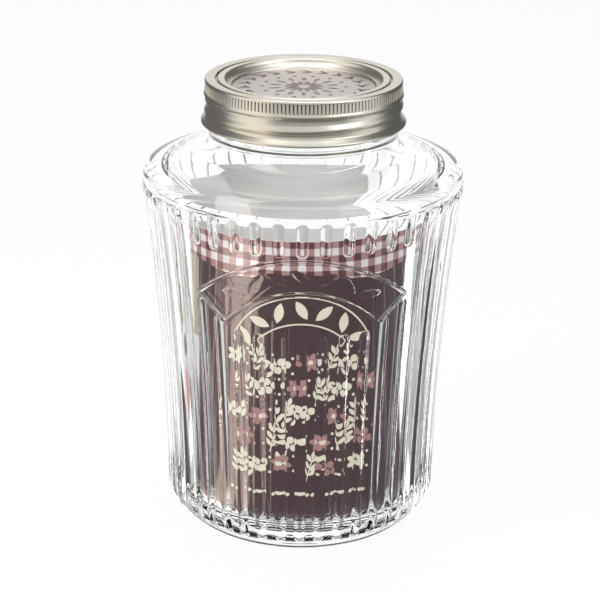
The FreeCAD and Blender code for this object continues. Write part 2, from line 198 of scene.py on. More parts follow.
def finish_mesh(bm, name, materials, smooth=True, square=SQUARE):
    """Closes a bmesh into an object at the origin, with its square edges left sharp."""
    bmesh.ops.recalc_face_normals(bm, faces=bm.faces)
    for edge in bm.edges:
        if len(edge.link_faces) == 2 and edge.calc_face_angle() > math.radians(square):
            edge.smooth = False
    mesh = bpy.data.meshes.new(name)
    bm.to_mesh(mesh)
    bm.free()
    for material in materials:
        mesh.materials.append(material)
    for polygon in mesh.polygons:
        polygon.use_smooth = smooth
    piece = bpy.data.objects.new(name, mesh)
    bpy.context.scene.collection.objects.link(piece)
    return piece


def lathe(profile, steps, doublings, degrees=360.0, start=0.0):
    """Spins (radius, height) points through a sector, then doubles it until the turn is made."""
    bm = bmesh.new()
    turn = Matrix.Rotation(math.radians(start), 3, "Z")
    verts = [bm.verts.new(turn @ Vector((r * MM, 0.0, z * MM))) for r, z in profile]
    edges = [bm.edges.new(pair) for pair in zip(verts, verts[1:])]
    sector = math.radians(degrees) / 2 ** doublings
    bmesh.ops.spin(
        bm, geom=verts + edges, cent=(0, 0, 0), axis=(0, 0, 1), angle=sector, steps=steps
    )
    for doubling in range(doublings):
        faces = list(bm.faces)
        copied = bmesh.ops.duplicate(bm, geom=list(bm.verts) + list(bm.edges) + faces)["geom"]
        moved = [item for item in copied if isinstance(item, bmesh.types.BMVert)]
        step = Matrix.Rotation(sector * 2 ** doubling, 3, "Z")
        bmesh.ops.rotate(bm, cent=(0, 0, 0), matrix=step, verts=moved)
    bmesh.ops.remove_doubles(bm, verts=bm.verts, dist=1e-6)
    return bm


def on_circle(radius, angle, centre=(0, 0)):
    return (centre[0] + radius * math.cos(angle), centre[1] + radius * math.sin(angle))


def curve_points(centre, radius, start, end, count):
    """Points on a circle of the profile plane, from one angle to another in degrees."""
    angles = [math.radians(start + (end - start) * i / count) for i in range(count + 1)]
    return [on_circle(radius, angle, centre) for angle in angles]


def points_between(start, end, parts):
    """The points that cut a straight run into equal parts, its ends left out."""
    return [
        (start[0] + (end[0] - start[0]) * i / parts, start[1] + (end[1] - start[1]) * i / parts)
        for i in range(1, parts)
    ]


def spaced(low, high, step):
    """Heights from low up to high, high left out, about one step apart."""
    count = max(1, round((high - low) / step))
    return [low + (high - low) * i / count for i in range(count)]


def radius_of(co):
    """Distance from the jar's axis in millimetres."""
    return math.hypot(co.x, co.y) / MM


def direction_of(co):
    """Degrees round the jar from the front, positive towards +X."""
    return math.degrees(math.atan2(co.x, -co.y))


def parameters():
    scene = bpy.context.scene
    return scene.jar_sizes, scene.jar_colours


# ---- form of the glass

def wall_radius(height):
    share = (height - HEEL_HEIGHT) / (RIBBED_TOP_HEIGHT - HEEL_HEIGHT)
    straight = WAIST_RADIUS + (RIBBED_TOP_RADIUS - WAIST_RADIUS) * share
    return straight - 4 * WALL_HOLLOW * share * (1 - share)


def heel_radius(height):
    sink = (HEEL_HEIGHT - height) / HEEL_HEIGHT
    return FOOT_RADIUS + (WAIST_RADIUS - FOOT_RADIUS) * math.sqrt(max(1 - sink ** 2, 0))


def shoulder_tangent(offset=0.0):
    """Angle at which the swell meets the shoulder's corner."""
    centre = (SHOULDER_RADIUS - SHOULDER_CORNER, SHOULDER_HEIGHT)
    foot = (RIBBED_TOP_RADIUS + offset - centre[0], RIBBED_TOP_HEIGHT - centre[1])
    corner = SHOULDER_CORNER + offset
    reach = math.hypot(*foot)
    return math.degrees(math.atan2(foot[1], foot[0]) + math.acos(corner / reach))


def shoulder_profile(offset=0.0):
    """Corner of the shoulder, its slope and the hollow curve into the neck, going up."""
    centre = (SHOULDER_RADIUS - SHOULDER_CORNER, SHOULDER_HEIGHT)
    corner = SHOULDER_CORNER + offset
    slope = math.radians(SHOULDER_SLOPE)
    points = curve_points(centre, corner, shoulder_tangent(offset), 90 - SHOULDER_SLOPE, ARC_STEPS)
    fillet = NECK_FILLET - offset
    neck_x = NECK_RADIUS + NECK_FILLET
    foot_x = neck_x - fillet * math.sin(slope)
    foot_z = points[-1][1] + (points[-1][0] - foot_x) * math.tan(slope)
    neck_centre = (neck_x, foot_z + fillet * math.cos(slope))
    hollow = curve_points(neck_centre, fillet, 270 - SHOULDER_SLOPE, 180, ARC_STEPS)
    return points + points_between(points[-1], hollow[0], SLOPE_PARTS) + hollow


def outer_profile():
    """Outside of the glass from the middle of the base up to the rim."""
    inner_foot = FOOT_RADIUS - FOOT_WIDTH
    base = [(0, PUSH_UP), (inner_foot - 9, PUSH_UP), (inner_foot - 5, PUSH_UP - 0.5)]
    base += [(inner_foot - 2, 1.6), (inner_foot - 0.6, 0.3), (inner_foot, 0.0)]
    base += [(FOOT_RADIUS - 1, 0.0)]
    heights = [0.02, 0.2, 0.6, 1.3, 2.2, 3.4, 4.8, 6.3] + spaced(7.6, 13.0, 0.55)
    heights += spaced(13.0, HEEL_HEIGHT, 1.1)
    heel = [(heel_radius(z), z) for z in heights]
    heights = spaced(HEEL_HEIGHT, FIELD_LOW, 5.0) + spaced(FIELD_LOW, FIELD_HIGH, FIELD_ROW)
    heights += spaced(FIELD_HIGH, RIBBED_TOP_HEIGHT, 1.2)
    wall = [(wall_radius(z), z) for z in heights]
    shoulder = shoulder_profile()
    low, high = (RIBBED_TOP_RADIUS, RIBBED_TOP_HEIGHT), shoulder[0]
    swell_heights = spaced(low[1], 135.6, 1.6) + spaced(135.6, high[1], 0.42)
    swell = [
        (low[0] + (high[0] - low[0]) * (z - low[1]) / (high[1] - low[1]), z) for z in swell_heights
    ]
    neck_foot = shoulder[-1][1]
    neck = [(NECK_RADIUS, z) for z in spaced(neck_foot, NECK_BEAD_HEIGHT - 0.8, 0.6)[1:]]
    bead = [
        (NECK_RADIUS + 0.55 * math.sin(math.pi * i / 6), NECK_BEAD_HEIGHT - 0.8 + 1.6 * i / 6)
        for i in range(7)
    ]
    rim = [(NECK_RADIUS, RIM_HEIGHT - 5), (NECK_RADIUS, RIM_HEIGHT - 0.9)]
    rim += [(NECK_RADIUS - 0.3, RIM_HEIGHT - 0.25), (NECK_RADIUS - 1.0, RIM_HEIGHT)]
    return base + heel + wall + swell + shoulder + neck + bead + rim


def rounded_corner(before, corner, after, radius, count):
    """Points on the arc that rounds a corner between two straight runs."""
    before, corner, after = Vector(before), Vector(corner), Vector(after)
    to_before, to_after = (before - corner).normalized(), (after - corner).normalized()
    half = to_before.angle(to_after) / 2
    centre = corner + (to_before + to_after).normalized() * radius / math.sin(half)
    start = corner + to_before * radius / math.tan(half) - centre
    end = corner + to_after * radius / math.tan(half) - centre
    turn = start.angle_signed(end)
    points = []
    for i in range(count + 1):
        spoke = start.copy()
        spoke.rotate(Matrix.Rotation(-turn * i / count, 2))
        points.append(tuple(centre + spoke))
    return points


def inner_shoulder(thickness):
    """Inside of the shoulder going up: a wide hollow corner, the slope, the bend into the neck."""
    outside = shoulder_profile()
    slope = math.radians(SHOULDER_SLOPE)
    shift = (-thickness * math.sin(slope), -thickness * math.cos(slope))
    low = (outside[ARC_STEPS][0] + shift[0], outside[ARC_STEPS][1] + shift[1])
    high = (low[0] - 40 * math.cos(slope), low[1] + 40 * math.sin(slope))
    foot = (wall_radius(RIBBED_TOP_HEIGHT) - thickness, RIBBED_TOP_HEIGHT)
    lean = (RIBBED_TOP_RADIUS - wall_radius(RIBBED_TOP_HEIGHT - 4)) / 4
    rise = (low[1] + (low[0] - foot[0]) * math.tan(slope) - foot[1]) / (1 + lean * math.tan(slope))
    corner = (foot[0] + lean * rise, foot[1] + rise)
    points = rounded_corner(foot, corner, high, INNER_CORNER, 12)
    hollow = shoulder_profile(-thickness)[ARC_STEPS + SLOPE_PARTS:]
    return points + points_between(points[-1], hollow[0], 3) + hollow


def inner_profile(thickness):
    """Inside of the glass from the rim down to the middle of the floor."""
    shoulder = inner_shoulder(thickness)
    neck_top = shoulder[-1]
    bore = [(MOUTH_RADIUS + 1.0, RIM_HEIGHT), (MOUTH_RADIUS + 0.25, RIM_HEIGHT - 0.25)]
    bore += [(MOUTH_RADIUS, RIM_HEIGHT - 0.9), (MOUTH_RADIUS, RIM_HEIGHT - 8)]
    bore += [(MOUTH_RADIUS, neck_top[1] + (neck_top[0] - MOUTH_RADIUS))]
    down = list(reversed(shoulder))
    corner_z = FLOOR_HEIGHT + FLOOR_CORNER
    heights = list(reversed(spaced(corner_z, shoulder[0][1] - 2.0, 7.0)))
    wall = [(wall_radius(z) - thickness, z) for z in heights]
    centre = (wall[-1][0] - FLOOR_CORNER, corner_z)
    corner = curve_points(centre, FLOOR_CORNER, 0, -90, 10)[1:]
    floor = [(corner[-1][0] * share, FLOOR_HEIGHT) for share in (0.7, 0.35)] + [(0, FLOOR_HEIGHT)]
    return bore + down + wall + corner + floor


def rib_spans(index):
    """Lower and upper tips of the rib this many places from the front."""
    if abs(index) > FRAME_RIBS:
        return [(RIB_FOOT_HEIGHT, RIB_TOP_HEIGHT)]
    radius, crown, half_span = ARCH_LOW
    sizes = parameters()[0]
    sideways = RIBBED_TOP_RADIUS * math.sin(math.radians(abs(index) * 360 / sizes.rib_count))
    low_end = crown - radius + math.sqrt(radius ** 2 - half_span ** 2)
    top_end = ARCH_TOP[1] - ARCH_TOP[0] + math.sqrt(ARCH_TOP[0] ** 2 - ARCH_TOP[2] ** 2)
    if sideways > half_span:
        share = min((sideways - half_span) / (ARCH_TOP[2] - half_span), 1.0)
        upper = low_end + share * (top_end - low_end) - ARCH_TO_RIBS
    else:
        arc = crown - radius + math.sqrt(radius ** 2 - sideways ** 2) - ARCH_TO_RIBS
        upper = min(low_end - ARCH_TO_RIBS, arc)
    return [(SHORT_RIB_FOOT, RIB_TOP_HEIGHT), (RIB_FOOT_HEIGHT, upper)]


def rib_height(direction, radius, height, sizes, spans_of):
    """Height of the ribs over the plain wall, in millimetres."""
    half = sizes.rib_width / MM / 2
    rise = sizes.rib_rise / MM
    pitch = 360.0 / sizes.rib_count
    index = round(direction / pitch)
    across = math.radians(direction - index * pitch) * radius
    if abs(across) >= half:
        return 0.0
    if index not in spans_of:
        spans_of[index] = rib_spans(index)
    best = 0.0
    for low, high in spans_of[index]:
        along = max(low + half - height, 0.0, height - (high - half))
        away = math.hypot(across, along)
        if away < half:
            best = max(best, rise * math.cos(away / half * math.pi / 2))
    return best


def arch_distance(sideways, height, arch):
    """Distance in the front view from one arc of the frame, ends included."""
    radius, crown, half_span = arch
    centre = crown - radius
    if abs(sideways) <= half_span and height > centre:
        return abs(math.hypot(sideways, height - centre) - radius)
    end = centre + math.sqrt(radius ** 2 - half_span ** 2)
    return math.hypot(abs(sideways) - half_span, height - end)


def arch_end(arch):
    radius, crown, half_span = arch
    return Vector((half_span, crown - radius + math.sqrt(radius ** 2 - half_span ** 2)))


def frame_distance(sideways, height):
    """Distance in the front view from the middle of the frame's line."""
    near = min(arch_distance(sideways, height, arch) for arch in (ARCH_TOP, ARCH_LOW))
    start, end = arch_end(ARCH_LOW), arch_end(ARCH_TOP)
    spot = Vector((abs(sideways), height))
    share = min(max((spot - start).dot(end - start) / (end - start).length_squared, 0.0), 1.0)
    return min(near, (spot - start - (end - start) * share).length)


def arch_height(sideways, height, sizes):
    """Height of the raised frame line, a round bead in section."""
    half = sizes.arch_line / MM / 2
    near = frame_distance(sideways, height)
    if near >= half:
        return 0.0
    return sizes.arch_rise / MM * math.sqrt(1 - (near / half) ** 2)


def leaf_share(sideways, height):
    """Below 1 inside a leaf of the frame. The leaves lie to either side of its middle arc."""
    radius = (ARCH_TOP[0] + ARCH_LOW[0]) / 2
    crown = (ARCH_TOP[1] + ARCH_LOW[1]) / 2
    turn = math.atan2(sideways, height - (crown - radius))
    along = turn * radius
    off = math.hypot(sideways, height - (crown - radius)) - radius
    index = round(along / LEAF_PITCH)
    if abs(index) > 3:
        return 9.0
    side = 1 if index % 2 else -1
    tilt = math.radians(LEAF_TILT) * side * (1 if index >= 0 else -1)
    a = along - index * LEAF_PITCH
    long_way = a * math.cos(tilt) + off * math.sin(tilt)
    short_way = off * math.cos(tilt) - a * math.sin(tilt)
    return (long_way / LEAF_HALF[0]) ** 2 + abs(short_way / LEAF_HALF[1]) ** 1.6


def leaf_height(sideways, height, sizes):
    """Flat-topped leaf with a steep round edge."""
    inside = 1 - leaf_share(sideways, height)
    if inside <= 0:
        return 0.0
    return sizes.arch_rise / MM * min(1.0, inside / 0.5) ** 0.5


def crowd_columns(bm, sizes):
    """Moves the columns of the mesh towards the edges of the ribs, where the form turns most."""
    pitch = 2 * math.pi / sizes.rib_count
    for vert in bm.verts:
        radius = math.hypot(vert.co.x, vert.co.y)
        if radius > 1e-6:
            around = math.atan2(vert.co.x, -vert.co.y)
            phase = around / pitch
            around += 0.35 * math.sin(4 * math.pi * phase) / (4 * math.pi) * pitch
            vert.co.x = radius * math.sin(around)
            vert.co.y = -radius * math.cos(around)


def thin_columns(bm, columns, step, keeps_detail):
    """Takes columns out of the mesh wherever the glass is plain."""
    pitch = 2 * math.pi / columns
    doomed = []
    for edge in bm.edges:
        a, b = (vert.co for vert in edge.verts)
        if keeps_detail(a) or keeps_detail(b):
            continue
        if min(math.hypot(a.x, a.y), math.hypot(b.x, b.y)) < 1e-4:
            continue
        turns = [math.atan2(co.x, -co.y) / pitch for co in (a, b)]
        if abs(turns[0] - turns[1]) < 0.2 and round(turns[0]) % step:
            doomed.append(edge)
    bmesh.ops.dissolve_edges(bm, edges=doomed, use_verts=True)


def refine_field(bm):
    """Adds rows in the arched field, and a finer net along the edges of its relief."""
    def in_field(co):
        height = co.z / MM
        outside = radius_of(co) > wall_radius(height) - OUTER_SKIN
        inside_rows = FIELD_LOW - 0.1 < height < FIELD_HIGH + 0.1
        return outside and inside_rows and abs(direction_of(co)) < FIELD_REACH

    def near_relief(co):
        sideways, height = co.x / MM, co.z / MM
        if frame_distance(sideways, height) < LINE_NEAR:
            return True
        return LEAF_NEAR[0] < leaf_share(sideways, height) < LEAF_NEAR[1]

    upright = [
        edge for edge in bm.edges
        if abs(edge.verts[0].co.z - edge.verts[1].co.z) > 2 * MM
        and all(in_field(v.co) for v in edge.verts)
    ]
    bmesh.ops.subdivide_edges(bm, edges=upright, cuts=8, use_grid_fill=True)
    fine = [
        edge for edge in bm.edges
        if all(in_field(v.co) and near_relief(v.co) for v in edge.verts)
    ]
    bmesh.ops.subdivide_edges(bm, edges=fine, cuts=1, use_grid_fill=True)


def ribbed(co):
    """True on the outside of the glass where ribs, frame or leaves may stand."""
    height = co.z / MM
    if not RIBBED[0] < height < RIBBED[1]:
        return False
    if height < HEEL_HEIGHT:
        plain = heel_radius(height)
    else:
        plain = wall_radius(min(height, RIBBED_TOP_HEIGHT))
    return radius_of(co) > plain - OUTER_SKIN


def raise_relief(bm, sizes):
    """Pushes the ribs, the arched frame and its leaves out of the plain wall."""
    spans_of = {}
    low, high, reach = FRAME_FIELD
    for vert in bm.verts:
        if not ribbed(vert.co):
            continue
        height = vert.co.z / MM
        radius = radius_of(vert.co)
        direction = direction_of(vert.co)
        if HEEL_HEIGHT < height < RIBBED_TOP_HEIGHT:
            vert.co.x *= wall_radius(height) / radius
            vert.co.y *= wall_radius(height) / radius
            radius = wall_radius(height)
        rise = rib_height(direction, radius, height, sizes, spans_of)
        sideways = vert.co.x / MM
        if rise == 0.0 and vert.co.y < 0 and low < height < high and abs(sideways) < reach:
            rise = max(arch_height(sideways, height, sizes), leaf_height(sideways, height, sizes))
        if rise > 0.0:
            out = Vector((vert.co.x, vert.co.y, 0)).normalized()
            if height < HEEL_HEIGHT:
                steep = (heel_radius(height + 0.1) - heel_radius(height - 0.1)) / 0.2
                out = Vector((out.x, out.y, -steep)).normalized()
            vert.co += out * rise * MM


# ---- materials

def new_material(name, **sockets):
    """A material with one Principled shader whose plain sockets are set here."""
    material = bpy.data.materials.new(name)
    material.use_nodes = True
    shader = material.node_tree.nodes["Principled BSDF"]
    for socket, value in sockets.items():
        shader.inputs[socket.replace("_", " ")].default_value = value
    return material, material.node_tree, shader


def colour(rgb):
    return (rgb[0], rgb[1], rgb[2], 1.0)


def add_node(tree, kind, inputs=None, **settings):
    node = tree.nodes.new(kind)
    for key, value in settings.items():
        setattr(node, key, value)
    for key, value in (inputs or {}).items():
        socket = node.inputs[key]
        if isinstance(value, bpy.types.NodeSocket):
            tree.links.new(value, socket)
        else:
            socket.default_value = value
    return node


def maths(tree, operation, first, second=0.0, third=0.0):
    node = add_node(tree, "ShaderNodeMath", {0: first, 1: second, 2: third}, operation=operation)
    return node.outputs[0]


def blend_colour(tree, factor, first, second):
    node = add_node(tree, "ShaderNodeMix", data_type="RGBA")
    for socket, value in (("Factor", factor), ("A", first), ("B", second)):
        target = next(s for s in node.inputs if s.name == socket and s.enabled)
        if isinstance(value, bpy.types.NodeSocket):
            tree.links.new(value, target)
        else:
            target.default_value = value
    return next(s for s in node.outputs if s.enabled)


def object_place(tree):
    return add_node(tree, "ShaderNodeTexCoord").outputs["Object"]


def axis_radius(tree, place):
    """Distance from the jar's axis."""
    flat = add_node(
        tree, "ShaderNodeVectorMath", {0: place, 1: (1, 1, 0)}, operation="MULTIPLY"
    ).outputs[0]
    return add_node(tree, "ShaderNodeVectorMath", {0: flat}, operation="LENGTH").outputs["Value"]


def direction_round(tree, axes):
    """Direction round the jar in radians, 0 in front, from the outputs of a Separate XYZ node."""
    return maths(tree, "ARCTAN2", axes[0], maths(tree, "MULTIPLY", axes[1], -1.0))


def ramp(tree, value, low, high, start=0.0, end=1.0):
    """Runs from start to end while the value runs from low to high."""
    inputs = {0: value, 1: low, 2: high, 3: start, 4: end}
    return add_node(tree, "ShaderNodeMapRange", inputs).outputs[0]


def between(tree, value, low, high, soft):
    """1 where the value lies between two limits, with soft edges."""
    rise = ramp(tree, value, low - soft, low + soft)
    fall = ramp(tree, value, high - soft, high + soft, 1.0, 0.0)
    return maths(tree, "MULTIPLY", rise, fall)


def mottle(tree, mask, rgb, share):
    """Varies the base colour, by a mask, from a share of itself up to its full value."""
    darker = tuple(c * share for c in rgb)
    mixed = blend_colour(tree, mask, colour(darker), colour(rgb))
    tree.links.new(mixed, tree.nodes["Principled BSDF"].inputs["Base Color"])


def recolour(tree, mask, rgb):
    """Lays a plain colour over the base colour where the mask is 1."""
    base = tree.nodes["Principled BSDF"].inputs["Base Color"]
    mixed = blend_colour(tree, mask, base.links[0].from_socket, colour(rgb))
    tree.links.new(mixed, base)


def grain_group():
    """Uneven surface shared by glass, tinplate, paper and ink: its mask and its normal."""
    name = "surface_grain"
    if name in bpy.data.node_groups:
        return bpy.data.node_groups[name]
    group = bpy.data.node_groups.new(name, "ShaderNodeTree")
    for socket in ("Place", "Stretch"):
        group.interface.new_socket(name=socket, in_out="INPUT", socket_type="NodeSocketVector")
    for socket in ("Scale", "Strength", "Depth"):
        group.interface.new_socket(name=socket, in_out="INPUT", socket_type="NodeSocketFloat")
    group.interface.new_socket(name="Mask", in_out="OUTPUT", socket_type="NodeSocketFloat")
    group.interface.new_socket(name="Normal", in_out="OUTPUT", socket_type="NodeSocketVector")
    given = add_node(group, "NodeGroupInput").outputs
    factors = {0: given["Place"], 1: given["Stretch"]}
    stretched = add_node(
        group, "ShaderNodeVectorMath", factors, operation="MULTIPLY"
    ).outputs[0]
    mask = add_node(
        group, "ShaderNodeTexNoise", {"Vector": stretched, "Scale": given["Scale"], "Detail": 3.0}
    ).outputs[0]
    normal = add_node(
        group, "ShaderNodeBump",
        {"Height": mask, "Strength": given["Strength"], "Distance": given["Depth"]},
    ).outputs[0]
    add_node(group, "NodeGroupOutput", {"Mask": mask, "Normal": normal})
    return group


def grain(tree, place, scale, strength=0.0, depth=0.0003, stretch=(1.0, 1.0, 1.0)):
    """The shared grain with this material's own values."""
    node = tree.nodes.new("ShaderNodeGroup")
    node.node_tree = grain_group()
    tree.links.new(place, node.inputs["Place"])
    given = {"Stretch": stretch, "Scale": scale, "Strength": strength, "Depth": depth}
    for socket, value in given.items():
        node.inputs[socket].default_value = value
    return node.outputs


def glass_material(colours):
    material, tree, shader = new_material("clear_pressed_glass", Roughness=0.0, IOR=1.5)
    shader.inputs["Base Color"].default_value = colour(colours.glass)
    shader.inputs["Transmission Weight"].default_value = 1.0
    place = object_place(tree)
    flow = grain(tree, place, 45.0, 0.08, 0.001)
    tree.links.new(flow["Normal"], shader.inputs["Normal"])
    return material


def rolled_metal(name, rgb, roughness, fineness):
    """Tinplate: a soft directional grain round the axis varies its gloss."""
    material, tree, shader = new_material(name, Metallic=1.0)
    place = object_place(tree)
    lines = grain(tree, place, fineness, 0.05, 0.0003, (1.0, 1.0, 14.0))
    patches = grain(tree, place, 60.0)["Mask"]
    rough = maths(tree, "MULTIPLY_ADD", lines["Mask"], 0.08, roughness - 0.04)
    rough = maths(tree, "MULTIPLY_ADD", patches, 0.05, rough)
    tree.links.new(rough, shader.inputs["Roughness"])
    mottle(tree, patches, rgb, 0.9)
    tree.links.new(lines["Normal"], shader.inputs["Normal"])
    return material


def card_material(colours, sizes):
    """Printed side of the card: plum ground, pale sides with an olive field, gingham at the top."""
    material, tree, shader = new_material("printed_card", Roughness=0.32)
    place = object_place(tree)
    axes = add_node(tree, "ShaderNodeSeparateXYZ", {0: place}).outputs
    around = direction_round(tree, axes)
    arc = maths(tree, "MULTIPLY", around, CARD_RADIUS * MM)
    check = sizes.check_size
    columns = maths(tree, "GREATER_THAN", maths(tree, "PINGPONG", arc, check), check / 2)
    drop = maths(tree, "SUBTRACT", CARD_TOP * MM + check / 2, axes[2])
    rows = maths(tree, "GREATER_THAN", maths(tree, "PINGPONG", drop, check), check / 2)
    either = maths(tree, "MAXIMUM", columns, rows)
    both = maths(tree, "MULTIPLY", columns, rows)
    gingham = blend_colour(tree, either, CHECK_WHITE, colour(colours.check_pink))
    gingham = blend_colour(tree, both, gingham, colour(colours.check_dark))
    far_side = maths(tree, "ABSOLUTE", around)
    side = maths(tree, "GREATER_THAN", far_side, math.radians(SIDE_FIELD))
    left = maths(tree, "LESS_THAN", around, 0.0)
    olive = maths(tree, "GREATER_THAN", axes[2], OLIVE_FOOT * MM)
    olive = maths(tree, "MULTIPLY", olive, left)
    near_front = maths(tree, "LESS_THAN", far_side, math.radians(OLIVE_END))
    olive = maths(tree, "MULTIPLY", olive, near_front)
    side_colour = blend_colour(tree, olive, SIDE_COLOUR, OLIVE_COLOUR)
    ground = blend_colour(tree, side, colour(colours.plum), side_colour)
    scallop = maths(tree, "COSINE", maths(tree, "MULTIPLY", around, 6.0))
    hem = maths(tree, "MULTIPLY_ADD", scallop, SCALLOP * MM, (CARD_TOP - CLOTH_DROP) * MM)
    cloth = maths(tree, "GREATER_THAN", axes[2], hem)
    print_colour = blend_colour(tree, cloth, ground, gingham)
    fibres = grain(tree, place, 900.0, 0.1, 0.0002)
    mottled = blend_colour(tree, 0.015, print_colour, fibres["Mask"])
    tree.links.new(mottled, shader.inputs["Base Color"])
    tree.links.new(fibres["Normal"], shader.inputs["Normal"])
    shader.inputs["Coat Weight"].default_value = 1.0
    shader.inputs["Coat Roughness"].default_value = 0.03
    shader.inputs["Coat IOR"].default_value = 2.2
    return material


def board_material(colours):
    material, tree, shader = new_material("bare_board", Roughness=0.7)
    place = object_place(tree)
    fibres = grain(tree, place, 500.0, 0.1, 0.0002)
    mottle(tree, fibres["Mask"], colours.board, 0.93)
    tree.links.new(fibres["Normal"], shader.inputs["Normal"])
    return material


def ink_material(name, rgb):
    """Printing ink with a slightly uneven lay."""
    material, tree = new_material(name, Roughness=0.35)[:2]
    place = object_place(tree)
    mottle(tree, grain(tree, place, 700.0)["Mask"], rgb, 0.85)
    return material


# ---- operators

class JAR_OT_glass(bpy.types.Operator):
    """Pressed glass body with its ribs, arched frame and leaves"""
    bl_idname = "jar.glass"
    bl_label = "Glass"

    def execute(self, context):
        sizes, colours = parameters()
        columns = sizes.rib_count * COLUMNS_PER_RIB
        profile = outer_profile() + inner_profile(sizes.glass_wall / MM)
        bm = lathe(profile, columns // 2 ** DOUBLINGS, DOUBLINGS)
        thin_columns(bm, columns, SMOOTH_COLUMN_STEP, ribbed)
        crowd_columns(bm, sizes)
        refine_field(bm)
        raise_relief(bm, sizes)
        piece = finish_mesh(bm, "glass_body", [glass_material(colours)])
        piece.visible_shadow = False
        piece.visible_diffuse = False
        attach(piece, "root")
        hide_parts("glass_jar")
        return {"FINISHED"}


class JAR_OT_screw_band(bpy.types.Operator):
    """Open screw band with knurls, thread ridge and rolled hem"""
    bl_idname = "jar.screw_band"
    bl_label = "Screw band"

    def execute(self, context):
        sizes, colours = parameters()
        bm = lathe(band_profile(), sizes.knurl_count * 4 // 2 ** DOUBLINGS, DOUBLINGS)
        shape_band(bm, sizes)
        material = rolled_metal("band_tinplate", colours.band, roughness=0.27, fineness=240.0)
        # paints shade into the colour of the knurl's slots
        paint_shade_in_slots(material, sizes)
        piece = finish_mesh(bm, "band_shell", [material], square=BAND_SQUARE)
        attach(piece, "root")
        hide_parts("screw_band")
        return {"FINISHED"}


def band_profile():
    """Closed section of the band, outside from the lip down to the hem and back up inside."""
    outer = [(32.9, 176.2), (33.1, 176.42), (34.2, 176.55), (36.1, 176.6)]
    outer += curve_points((36.1, 175.8), 0.8, 75, 0, 4)
    outer += [(37.0 - (z - 171.75) * 0.05, z) for z in (175.45, 175.3, 174.0, 172.6, 171.9, 171.75)]
    outer += [(37.0, 171.6), (37.15, 171.35), (37.3, 170.95), (37.2, 170.5), (36.9, 170.15)]
    outer += [(36.6, 169.8), (36.45, 169.3)]
    outer += [(36.4, z) for z in [168.9 - 0.3 * i for i in range(21)]]
    outer += [(36.45, 162.7), (36.8, 162.3), (37.3, 161.9), (37.7, 161.5), (38.0, 161.2)]
    outer += curve_points((37.75, 160.55), 0.65, 55, -100, 7)
    inner = [(37.2, 160.2), (37.1, 160.8), (36.9, 161.4), (36.2, 162.3), (35.95, 162.9)]
    inner += [(35.95, 168.5), (36.0, 170.0), (36.4, 171.0), (36.4, 175.2), (36.0, 175.95)]
    inner += [(34.2, 175.98), (33.0, 175.9), (32.9, 176.2)]
    return outer + inner


def shape_band(bm, sizes):
    """Cuts the knurls and raises the helical ridge that the thread of the jar bears on."""
    step = 2 * math.pi / sizes.knurl_count
    for vert in bm.verts:
        height = vert.co.z / MM
        radius = radius_of(vert.co)
        around = math.atan2(vert.co.x, -vert.co.y)
        push = 0.0
        if radius > KNURL_RADIUS and KNURL_BELT[0] < height < KNURL_BELT[1]:
            tooth = abs((around / step) % 1.0 - 0.5) * 2
            push = -sizes.knurl_depth / MM * max(0.0, 1 - 2 * tooth)
        elif radius > GROOVE_RADIUS and GROOVE[0] < height < GROOVE[1]:
            push = ridge_rise(around, height)
        if push:
            scale = (radius + push) / radius
            vert.co.x *= scale
            vert.co.y *= scale


def paint_shade_in_slots(material, sizes):
    """Painted shade: the tin's colour darkened down in the slots of the knurl, where shade falls.
    """
    tree = material.node_tree
    place = object_place(tree)
    height = add_node(tree, "ShaderNodeSeparateXYZ", {0: place}).outputs[2]
    radius = axis_radius(tree, place)
    top = SLOT_SHADE_RADIUS * MM
    deep = ramp(tree, radius, top, top - 0.6 * sizes.knurl_depth, 0.0, 0.8)
    low, high = (KNURL_BELT[0] + 0.1) * MM, (KNURL_BELT[1] - 0.1) * MM
    inside = maths(tree, "MULTIPLY", deep, between(tree, height, low, high, 0.1 * MM))
    outside = maths(tree, "GREATER_THAN", radius, 36.42 * MM)
    mask = maths(tree, "MULTIPLY", inside, outside)
    # painted shade: the slots take a fifth of the band's colour
    recolour(tree, mask, tuple(0.22 * c for c in parameters()[1].band))


def ridge_rise(around, height):
    """A rounded crest that climbs one pitch in a turn and fades out at the groove's ends."""
    middle, width, rise_most = RIDGE
    climb = THREAD_PITCH * around / (2 * math.pi)
    rise = 0.0
    for turn in (-1, 0, 1):
        away = (height - middle - climb - turn * THREAD_PITCH) / width
        if abs(away) < 1:
            rise = max(rise, rise_most * math.cos(away * math.pi / 2) ** 1.2)
    from_foot = min(1.0, max(0.0, (height - GROOVE[0]) / 0.5))
    from_top = min(1.0, max(0.0, (GROOVE[1] - height) / 0.8))
    return rise * (from_foot * from_top)


class JAR_OT_lid_disc(bpy.types.Operator):
    """Stepped lid disc with a printed wreath"""
    bl_idname = "jar.lid_disc"
    bl_label = "Lid disc"

    def execute(self, context):
        colours = parameters()[1]
        bm = lathe(disc_profile(), steps=12, doublings=4)
        material = rolled_metal("disc_tinplate", colours.disc, roughness=0.3, fineness=200.0)
        tint_ring(material, colours.band)
        piece = finish_mesh(bm, "pressed_disc", [material])
        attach(piece, "root")
        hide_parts("lid_disc")
        wreath = disc_wreath(colours)
        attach(wreath, "root")
        return {"FINISHED"}


def tint_ring(material, rgb):
    """Leaves the bare tinplate showing round the lacquered panel."""
    tree = material.node_tree
    radius = axis_radius(tree, object_place(tree))
    recolour(tree, maths(tree, "GREATER_THAN", radius, LACQUER_RADIUS * MM), rgb)


